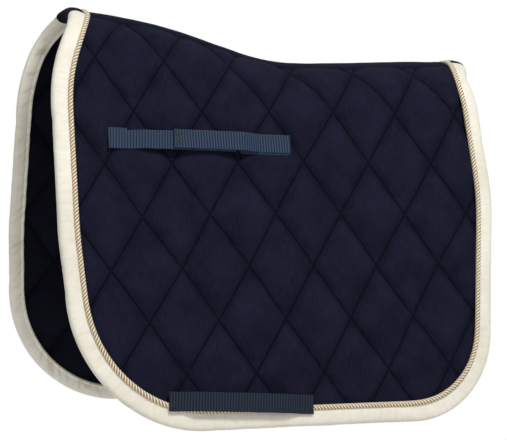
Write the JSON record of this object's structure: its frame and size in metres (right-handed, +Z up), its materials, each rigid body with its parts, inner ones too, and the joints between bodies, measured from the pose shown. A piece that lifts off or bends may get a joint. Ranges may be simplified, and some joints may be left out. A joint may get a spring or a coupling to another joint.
{
  "type": "saddle pad",
  "caption": "Quilted dressage saddle pad with a contoured spine, slanted square-cut flaps, a padded light binding with twisted piping, and webbing keepers for billets and girth.",
  "frame": {"origin": "on the underside of the spine at the lowest point of its dip, where the saddle sits on the horse's back", "axes": "+X to the horse's tail, -Y to the horse's left, +Z up"},
  "size_m": [0.6488, 0.3952, 0.5647],
  "materials": {
    "navy_cotton": "matte",
    "navy_lining": "matte",
    "wadding": "matte",
    "cream_satin": "satin",
    "gold_cord": "satin",
    "navy_tape": "matte",
    "blue_webbing": "satin",
    "hook_and_loop": "matte"
  },
  "bodies": {
    "yoke": {"spine_outer_tape": "navy_tape", "spine_inner_tape": "navy_tape", "spine_front_cap": "navy_tape", "spine_rear_cap": "navy_tape", "left_top_cover": "navy_cotton", "left_top_foam": "wadding", "left_top_lining": "navy_lining", "left_top_front_binding": "cream_satin", "left_top_rear_binding": "cream_satin", "left_top_front_piping": "gold_cord", "left_top_rear_piping": "gold_cord", "right_top_cover": "navy_cotton", "right_top_foam": "wadding", "right_top_lining": "navy_lining", "right_top_front_binding": "cream_satin", "right_top_rear_binding": "cream_satin", "right_top_front_piping": "gold_cord", "right_top_rear_piping": "gold_cord"},
    "left_flap": {"left_flap_cover": "navy_cotton", "left_flap_foam": "wadding", "left_flap_lining": "navy_lining", "left_flap_binding": "cream_satin", "left_flap_piping": "gold_cord", "left_billet_front_tab": "blue_webbing", "left_billet_loop_patch": "hook_and_loop", "left_billet_anchor": "blue_webbing", "left_girth_keeper": "blue_webbing"},
    "left_tab": {"left_billet_rear_tab": "blue_webbing", "left_billet_hook_patch": "hook_and_loop"},
    "right_flap": {"right_flap_cover": "navy_cotton", "right_flap_foam": "wadding", "right_flap_lining": "navy_lining", "right_flap_binding": "cream_satin", "right_flap_piping": "gold_cord", "right_billet_front_tab": "blue_webbing", "right_billet_loop_patch": "hook_and_loop", "right_billet_anchor": "blue_webbing", "right_girth_keeper": "blue_webbing"},
    "right_tab": {"right_billet_rear_tab": "blue_webbing", "right_billet_hook_patch": "hook_and_loop"}
  },
  "joints": [
    {"name": "left_flap_fold", "type": "hinge", "parent": "yoke", "child": "left_flap", "pos_m": [0, -0.10401, -0.07266], "axis": [-1, 0, 0], "range_deg": [-24, 90], "stiffness_Nm_per_rad": 0.3, "springref_deg": 24.81},
    {"name": "left_billet_tab_open", "type": "hinge", "parent": "left_flap", "child": "left_tab", "pos_m": [-0.06364, -0.10686, -0.1071], "axis": [0.0332, 0.2157, 0.9759], "range_deg": [0, 150]},
    {"name": "right_flap_fold", "type": "hinge", "parent": "yoke", "child": "right_flap", "pos_m": [0, 0.10401, -0.07266], "axis": [1, 0, 0], "range_deg": [-24, 90], "stiffness_Nm_per_rad": 0.3, "springref_deg": 24.81},
    {"name": "right_billet_tab_open", "type": "hinge", "parent": "right_flap", "child": "right_tab", "pos_m": [-0.06364, 0.10686, -0.1071], "axis": [-0.0332, 0.2157, -0.9759], "range_deg": [0, 150]}
  ]
}
